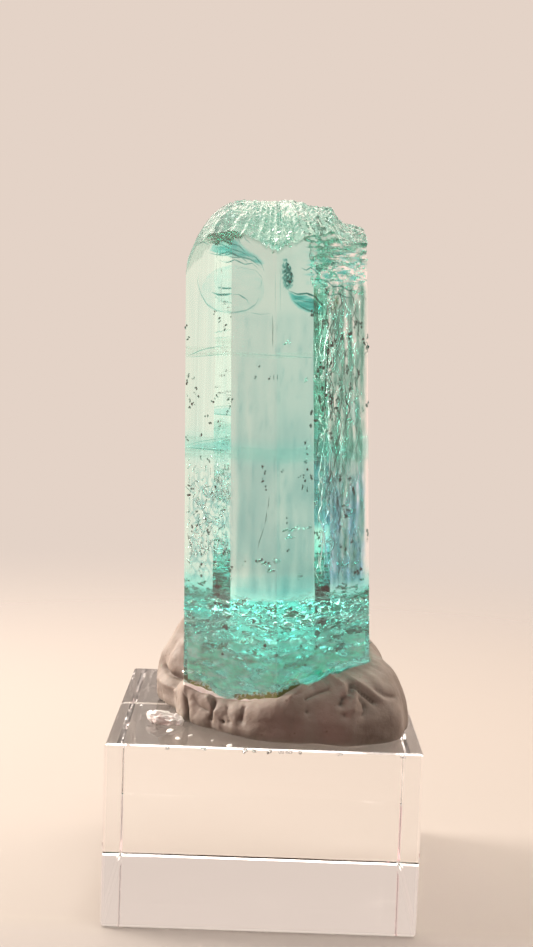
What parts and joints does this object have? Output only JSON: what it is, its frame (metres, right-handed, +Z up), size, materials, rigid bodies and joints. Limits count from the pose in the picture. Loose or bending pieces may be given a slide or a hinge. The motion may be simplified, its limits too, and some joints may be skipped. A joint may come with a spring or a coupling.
{
  "type": "aquamarine crystal specimen",
  "caption": "Hexagonal blue-green beryl crystal with an etched domed top, standing in a lump of mineral tack on a clear acrylic block.",
  "frame": {"origin": "middle of the block's underside", "axes": "+Z up along the crystal, -Y towards the viewer, who sees the crystal's front edge, +X to the viewer's right"},
  "size_m": [0.032, 0.032, 0.0744],
  "materials": {
    "aquamarine": "clear blue-green beryl with glassy prism faces, an etched top and a deeper green foot",
    "mineral_tack": "dull kneaded off-white putty",
    "clear_acrylic": "clear polished acrylic"
  },
  "bodies": {
    "root": {"aquamarine_crystal": "aquamarine", "mineral_tack": "mineral_tack", "tack_crumb": "mineral_tack", "acrylic_block": "clear_acrylic"}
  },
  "joints": []
}
